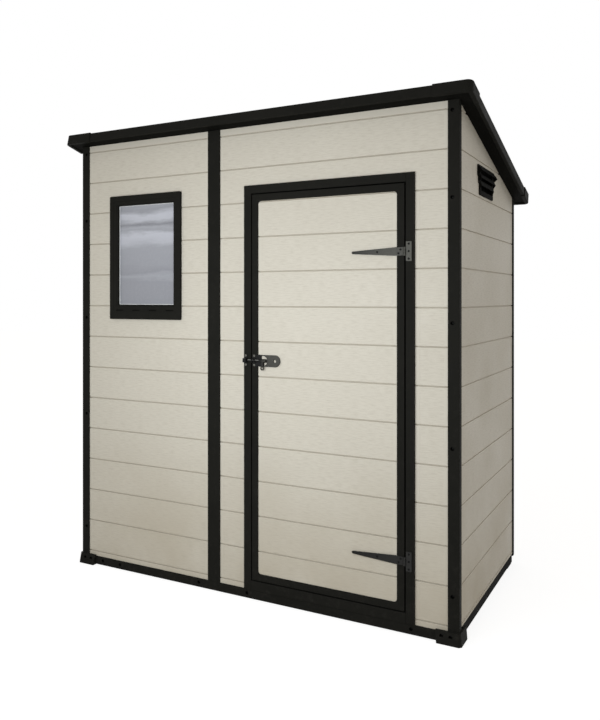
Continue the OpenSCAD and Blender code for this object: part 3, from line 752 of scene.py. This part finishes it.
latchLook = {
    "edge": 0.5 * mm,
    "metal": 2.5 * mm,          # thickness of the keeper and the plate
    "screw": 1.15,
    "screwSunk": 0.6 * mm,
    "screwIn": 5 * mm,          # from the upper and lower edges
    "plateScrewIn": 8.5 * mm,   # from the plate's left end
}
for node, body, finish in (("latch_keeper", "shed", latchFinish), ("latch_plate", "door", latchFinish),
                           ("latch_bolt", "bolt", boltFinish)):
    piece = copyNode(pieceName(node), node)
    soften(piece, latchLook["edge"], angle=50)
    dress(piece, body, [finish], "dark_steel", node)
keeperLow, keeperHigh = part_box("latch_keeper")
plateLow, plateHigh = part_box("latch_plate")
# bright screw heads on the keeper and latch plate, as painted highlight
for name, body, low, high, x in (
        ("keeperScrews", "shed", keeperLow, keeperHigh, (keeperLow.x + keeperHigh.x) / 2),
        ("latchPlateScrews", "door", plateLow, plateHigh, plateLow.x + latchLook["plateScrewIn"])):
    setScrews(name, body, [((x, borderLow.y - latchLook["metal"], z), (0, -1, 0))
                           for z in (low.z + latchLook["screwIn"], high.z - latchLook["screwIn"])],
              finish=latchScrewHighlightFinish, sunk=latchLook["screwSunk"], size=latchLook["screw"], slot="dark_steel")
print("latch")


# Window: a moulded frame with stepped faces, drain slots, a pane with a pale moulded edge

windowLook = {
    "corner": 5 * mm,
    "side": 40 * mm,
    "top": 43 * mm,
    "bottom": 64 * mm,
    # (share of the way in from the frame's edge to the pane, mm behind the front) of its stepped face
    "steps": ((0.0, 12.0), (0.0, 2.2), (0.025, 0.7), (0.07, 0), (0.50, 0), (0.54, 0.6), (0.57, 2.4),
              (0.84, 3.0), (0.89, 3.8), (0.93, 7.0), (1.0, 8.5), (1.0, 19.5)),
    "lap": 12 * mm,             # of the front over the wall
    "rearEdge": 1 * mm,
    "slots": 4,
    "firstSlot": 0.62,          # in shares of the spacing
    "slotSpacing": 4.24,        # spacings in the frame's width
    "slotSize": (40 * mm, 4.4 * mm),
    "slotDepth": 6 * mm,
    "slotLevel": 0.62,          # of the bottom rail's height
    "bead": 3.4 * mm,
    # (share of the bead's width, mm in front of the pane) round the bead's section
    "beadSteps": ((0, 0), (0, 1.2), (0.3, 1.8), (0.7, 1.7), (1, 0.9), (1, 0)),
}


def loopRing(box, insets, radius, depth):
    # a rounded loop that lies inside a node's box, by insets at its sides, foot and head
    (low, high), (side, foot, head) = box, insets
    corners = rectangle((low.x + side, low.z + foot), (high.x - side, high.z - head))
    return [(x, depth, z) for x, z in roundedPolygon(corners, max(radius, 0.3 * mm))]


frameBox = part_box("window_frame")
low, high = frameBox
rails = [windowLook[key] for key in ("side", "bottom", "top")]
lap, rearEdge = windowLook["lap"], windowLook["rearEdge"]
rings = [loopRing(frameBox, [rail * share for rail in rails], windowLook["corner"] * (1 - share), low.y + depth * mm)
         for share, depth in windowLook["steps"]]
rings += [loopRing(frameBox, insets, 0, depth) for insets, depth in (
    (rails, high.y - rearEdge), ([rail - rearEdge for rail in rails], high.y), ([lap + rearEdge] * 3, high.y),
    ([lap] * 3, high.y - rearEdge), ([lap] * 3, low.y + windowLook["steps"][0][1] * mm))]
windowMesh = bmesh.new()
addLoft(windowMesh, rings, closed=True)
windowFrame = toObject("windowFrame", windowMesh)
cut = bmesh.new()
wide, tall = windowLook["slotSize"]
level = low.z + windowLook["bottom"] * windowLook["slotLevel"]
for i in range(windowLook["slots"]):
    middle = low.x + (high.x - low.x) * (i + windowLook["firstSlot"]) / windowLook["slotSpacing"]
    rim = roundedPolygon(rectangle((middle - wide / 2, level - tall / 2), (middle + wide / 2, level + tall / 2)),
                         tall * 0.45, 3)
    addLoft(cut, [[(x, y, z) for x, z in rim] for y in (low.y - 2 * mm, low.y + windowLook["slotDepth"])],
            material=1)
# the drain slots' insides take the darker black of painted shade
cutAway(windowFrame, cut, (blackFinish, paintedShadeFinish))
dress(windowFrame, "shed", [blackFinish, paintedShadeFinish], "black_resin", "window_frame", crease=28)

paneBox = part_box("window_pane")
beadMesh = bmesh.new()
addLoft(beadMesh, [loopRing(paneBox, [windowLook["bead"] * share] * 3, 1 * mm, paneBox[0].y - out * mm)
                   for share, out in windowLook["beadSteps"]], closed=True)
dress(toObject("paneBead", beadMesh), "shed", [beadFinish], "clear_sheet", crease=60)
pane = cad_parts["window_pane"]
pane.data.materials.clear()
pane.data.materials.append(sheetFinish)
print("window")


# Vents: a flange with three sloping hoods, each smaller than the one above, and an insect mesh behind them

ventLook = {
    "flange": 5 * mm,
    "corner": 6 * mm,
    "stepIn": 13 * mm,          # how much narrower the flange and the hood are at each step, on either side
    "pitch": 27.333 * mm,       # from one hood to the next
    "firstStep": 43.3 * mm,     # from the flange's top to its first step
    "hole": (98 * mm, 16 * mm, 98 * mm),    # half its length, its top and its foot below the flange's top
    "holeCorner": 1.5 * mm,
    "root": 3 * mm,             # of the first hood below the flange's top
    "drop": 21 * mm,            # from a hood's root to its lip
    "reach": (18 * mm, 14 * mm, 10 * mm),
    "halfLength": 136 * mm,
    "thick": 2.4 * mm,
    "sink": 1 * mm,             # how far a hood's root reaches into the flange
    "hoodSteps": 8,
    "bow": 0.2,                 # how round a hood is: 0 straight, 1 a quarter of an ellipse
    "gusset": 14 * mm,          # how far a hood's ends run down the flange below its lip
    "sleeve": (14 * mm, 1.6 * mm),          # its reach into the wall and its thickness
    "mesh": (5.4 * mm, 1.3 * mm),           # pitch and thickness of the insect mesh's bars at its back
}


def addHood(mesh, spot, root, reach, half):
    # spot turns (out from the wall, along it, height) into a point
    thick, steps = ventLook["thick"], ventLook["hoodSteps"]
    start, lip = ventLook["flange"] - ventLook["sink"], root - ventLook["drop"]

    def section(trim, inward, filled):
        # trim: how far its edges are taken back; filled: closed below, as at the ends
        points = []
        for side in (0, 1):
            for j in range(steps, -1, -1) if side else range(steps + 1):
                angle, share = math.pi / 2 * j / steps, j / steps
                out = share + (math.sin(angle) - share) * ventLook["bow"]
                down = share + (1 - math.cos(angle) - share) * ventLook["bow"]
                depth = max(start + (reach - start - trim) * out - side * thick, start)
                rise = root - trim - (root - trim - lip) * down
                if side and filled:
                    depth, rise = start, root - trim - (root - trim - lip + ventLook["gusset"]) * share
                elif side:
                    rise = min(rise, root - trim - thick)
                points.append((depth, inward, rise))
        return points

    rings = [section(1.4 * mm, -half, True), section(0.4 * mm, -half + 0.5 * mm, True),
             section(0, -half + 1.6 * mm, True), section(0, -half + thick, True),
             section(0, -half + thick + 0.1 * mm, False)]
    rings += [[(out, -along, rise) for out, along, rise in ring] for ring in reversed(rings)]
    addLoft(mesh, [[spot(*point) for point in ring] for ring in rings])


def ventPiece(node, outward):
    low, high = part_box(node)
    face, middle, half = min(abs(low.x), abs(high.x)), (low.y + high.y) / 2, (high.y - low.y) / 2

    def spot(out, along, rise):
        return outward * (face + out), middle + along, rise

    def flangeRing(inset, out):
        # the outline steps in below each of the upper two hoods
        radius, soft = ventLook["corner"], 0.3 * ventLook["corner"]
        wide = [half - inset - k * ventLook["stepIn"] for k in range(3)]
        feet = [high.z - ventLook["firstStep"] - k * ventLook["pitch"] for k in (0, 1)] + [low.z + inset]
        top = high.z - inset
        run = [(wide[0] - radius, top), (wide[0] - soft, top - soft), (wide[0], top - radius)]
        for k in range(3):
            if k:
                run.append((wide[k], feet[k - 1] - 1.5 * mm))
            run += [(wide[k], feet[k] + radius), (wide[k] - soft, feet[k] + soft), (wide[k] - radius, feet[k])]
        return [spot(out, along, z) for along, z in run + [(-along, z) for along, z in reversed(run)]]

    def holeLoop(inset):
        return roundedPolygon(rectangle((inset - holeHalf, holeFoot + inset), (holeHalf - inset, holeTop - inset)),
                              ventLook["holeCorner"])

    flange = ventLook["flange"]
    holeHalf = ventLook["hole"][0]
    holeTop, holeFoot = [high.z - drop for drop in ventLook["hole"][1:]]
    plate = bmesh.new()
    addLoft(plate, [flangeRing(0, 0), flangeRing(0, flange - 1.2 * mm), flangeRing(0.4 * mm, flange - 0.4 * mm),
                    flangeRing(1.2 * mm, flange)])
    cut = bmesh.new()
    addLoft(cut, [[spot(out, along, z) for along, z in holeLoop(0)] for out in (-2 * mm, flange + 2 * mm)])
    plate = toObject("ventPlate", plate)
    cutAway(plate, cut)
    mesh = bmesh.new()
    mesh.from_mesh(plate.data)
    bpy.data.objects.remove(plate)
    back, wall = ventLook["sleeve"]
    addLoft(mesh, [[spot(out, along, z) for along, z in holeLoop(inset)] for inset, out in (
        (0.2 * mm, -back), (0.2 * mm, flange - 0.5 * mm), (wall, flange - 0.5 * mm), (wall, -back))], closed=True)
    pitch, bar = ventLook["mesh"]
    foot, top, beside = holeFoot + wall, holeTop - wall, int(holeHalf / pitch)
    upright = [((i * pitch - bar / 2, foot), (i * pitch + bar / 2, top)) for i in range(-beside, beside + 1)]
    level = [((wall - holeHalf, foot + i * pitch - bar / 2), (holeHalf - wall, foot + i * pitch + bar / 2))
             for i in range(1, int((top - foot) / pitch) + 1)]
    for layer, bars in ((-back, upright), (bar - back, level)):
        for corners in bars:
            addLoft(mesh, [[spot(out, along, z) for along, z in rectangle(*corners)]
                           for out in (layer, layer + bar)])
    for k, reach in enumerate(ventLook["reach"]):
        addHood(mesh, spot, high.z - ventLook["root"] - k * ventLook["pitch"], reach,
                ventLook["halfLength"] - k * ventLook["stepIn"])
    # the whole vent takes the darker black of painted shade
    dress(toObject(pieceName(node), mesh), "shed", [paintedShadeFinish], "black_resin", node)


ventPiece("vent_left", -1)
ventPiece("vent_right", 1)
print("vents")


# Roof: a ribbed sheet on the slope, trims along its edges and a cap round each corner

roofLook = {
    "frontEdge": 1.9100,        # height of the underside over the front face
    "thick": 30 * mm,
    "ribPitch": 165 * mm,
    "ribHalf": 24 * mm,
    "ribHeight": 5 * mm,
    "underRib": 3 * mm,
    # (across, up) from the middle of a rib to its edge, in shares of half its width and of its height
    "ribShape": ((0.22, 1), (0.42, 0.88), (0.62, 0.5), (0.82, 0.12), (1, 0)),
    # (distance from the sheet's edge, share of the rib's height) where a rib sets in
    "ribStart": ((20 * mm, 0), (26 * mm, 0.25), (34 * mm, 0.8), (44 * mm, 1)),
    "trimEdge": 1.8 * mm,
    "capEdge": 2.4 * mm,
    "capScrews": (0.833, 0.852, 0.871, 0.892),
    "capScrewPlace": (1.3 * mm, 14.7 * mm),     # behind the cap's front edge, above the sheet's underside
    "capScrewSunk": 1.4 * mm,
    "capScrew": 0.8,
}
fallCos, fallSin = math.cos(roofFall), math.sin(roofFall)
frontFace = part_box("corner_post_front_left")[0].y


def onRoof(x, along, rise):
    # along: down the slope from the front wall's face; rise: square to it, from the underside
    return (x, frontFace + along * fallCos + rise * fallSin, roofLook["frontEdge"] - along * fallSin + rise * fallCos)


low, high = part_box("roof_panel")
startAlong = (low.y - frontFace) / fallCos
endAlong = (high.y - frontFace - roofLook["thick"] * fallSin) / fallCos
ribs = int((high.x - roofLook["ribHalf"]) / roofLook["ribPitch"])


def ribbed(base, height):
    # one face of the sheet, from left to right
    shape = [(-across, up) for across, up in reversed(roofLook["ribShape"])] + list(roofLook["ribShape"])
    return [(i * roofLook["ribPitch"] + across * roofLook["ribHalf"], base + height * up)
            for i in range(-ribs, ribs + 1) for across, up in shape]


roofMesh = bmesh.new()
rise = roofLook["ribStart"]
reaches = [(startAlong, 0)] + [(startAlong + reach, swell) for reach, swell in rise]
reaches += [(endAlong - reach, swell) for reach, swell in reversed(rise)] + [(endAlong, 0)]
rings = []
for along, swell in reaches:
    upper = ribbed(roofLook["thick"], roofLook["ribHeight"] * swell)
    under = ribbed(0, roofLook["underRib"] * swell)
    section = [(low.x, 0), (low.x, roofLook["thick"])] + upper
    section += [(high.x, roofLook["thick"]), (high.x, 0)] + under[::-1]
    rings.append([onRoof(x, along, up) for x, up in section])
addLoft(roofMesh, rings)
# the roof sheet takes the darker black of painted shade, for its shaded underside
dress(toObject("roofSheet", roofMesh), "shed", [paintedShadeFinish], "black_resin", "roof_panel")

for node in ("roof_trim_front", "roof_trim_rear", "roof_trim_left", "roof_trim_right"):
    blackPiece(node, edge=roofLook["trimEdge"])
for node in ("roof_caps_front", "roof_caps_rear"):
    blackPiece(node, edge=roofLook["capEdge"])
behind, above = roofLook["capScrewPlace"]
capY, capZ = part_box("roof_caps_front")[0].y + behind, roofLook["frontEdge"] + above
setScrews("capScrews", "shed", [((side * x, capY, capZ), (0, -fallCos, fallSin))
                                for side in (-1, 1) for x in roofLook["capScrews"]],
          sunk=roofLook["capScrewSunk"], size=roofLook["capScrew"])
print("roof")


# Stage, light and camera

light = {
    "colour": (0.93, 0.97, 1.0),
    "key": 16.2,                # watts, a broad panel before the front wall
    "keyPlace": (0.12, -1.95, 1.16),
    "keySize": (1.5, 0.5),
    "keyTurn": 0,
    "side": 2.4,                # watts, a small panel beyond the front right corner
    "sidePlace": (2.7, -1.5, 1.3),
    "sideTurn": 62,             # degrees to the left
    "sideSize": (0.5, 0.9),
    "roomColour": (1.0, 0.955, 0.90, 1),
    "room": 0.5,
    "floorGlow": 0.86,          # how bright the floor looks by itself
    "floorSeen": (0.30, 0.30, 0.30, 1),
    "floorMatt": (0.58, 0.56, 0.52, 1),     # what it throws back onto the shed
    "floorHalf": 20,
    "floorDrop": 0.4 * mm,
}


def seenRays(tree):
    # 1 for what the camera sees directly, in a reflection or through glass
    rays = tree.nodes.new("ShaderNodeLightPath").outputs
    total = addNode(tree, "Math", {0: rays["Is Camera Ray"], 1: rays["Is Glossy Ray"]}, operation="ADD")
    return addNode(tree, "Math", {0: total, 1: rays["Is Transmission Ray"]}, operation="ADD", use_clamp=True)


def standUp(name, data, place, turn):
    # a lamp or camera that looks level, turned by degrees to the left of straight ahead
    stood = bpy.data.objects.new(name, data)
    scene.collection.objects.link(stood)
    stood.location = place
    stood.rotation_euler = (math.radians(90), 0, math.radians(turn))
    return stood


world = bpy.data.worlds.new("room")
scene.world = world
world.use_nodes = True
tree = world.node_tree
room = tree.nodes["Background"]
fillInputs(tree, room, {"Color": light["roomColour"], "Strength": light["room"]})
white = addNode(tree, "Background", {"Color": (1, 1, 1, 1), "Strength": 1.0})
mixed = addNode(tree, "MixShader", {0: seenRays(tree), 1: room.outputs[0], 2: white})
tree.links.new(mixed, tree.nodes["World Output"].inputs["Surface"])

ground = bmesh.new()
bmesh.ops.create_grid(ground, x_segments=2, y_segments=2, size=light["floorHalf"])
ground = toObject("ground", ground)
ground.location.z = -light["floorDrop"]
paper = bpy.data.materials.new("paper")
paper.use_nodes = True
tree = paper.node_tree
tree.nodes.clear()
matt = addNode(tree, "BsdfDiffuse", {"Color": light["floorMatt"]})
seen = addNode(tree, "BsdfDiffuse", {"Color": light["floorSeen"]})
glow = addNode(tree, "Emission", {"Color": (1, 1, 1, 1), "Strength": light["floorGlow"]})
lifted = addNode(tree, "AddShader", {0: seen, 1: glow})
tree.links.new(addNode(tree, "MixShader", {0: seenRays(tree), 1: matt, 2: lifted}),
               tree.nodes.new("ShaderNodeOutputMaterial").inputs["Surface"])
ground.data.materials.append(paper)

for name in ("key", "side"):
    # each lamp's other values are named after it
    lamp = bpy.data.lights.new(name + "Light", "AREA")
    lamp.shape, lamp.size, lamp.size_y = "RECTANGLE", *light[name + "Size"]
    lamp.energy, lamp.color = light[name], light["colour"]
    standUp(name + "Light", lamp, light[name + "Place"], light[name + "Turn"]).visible_camera = False

view = {
    "place": (1.5473, -3.1888, 1.212),
    "turn": 30.18,              # degrees to the left of straight ahead
    "lens": 38.4,
    "shift": (0.0833, -0.0852),
}
camera = bpy.data.cameras.new("camera")
camera.lens, camera.shift_x, camera.shift_y = view["lens"], *view["shift"]
scene.camera = standUp("camera", camera, view["place"], view["turn"])
scene.view_settings.view_transform = "Standard"
print("stage: floor, light and camera")
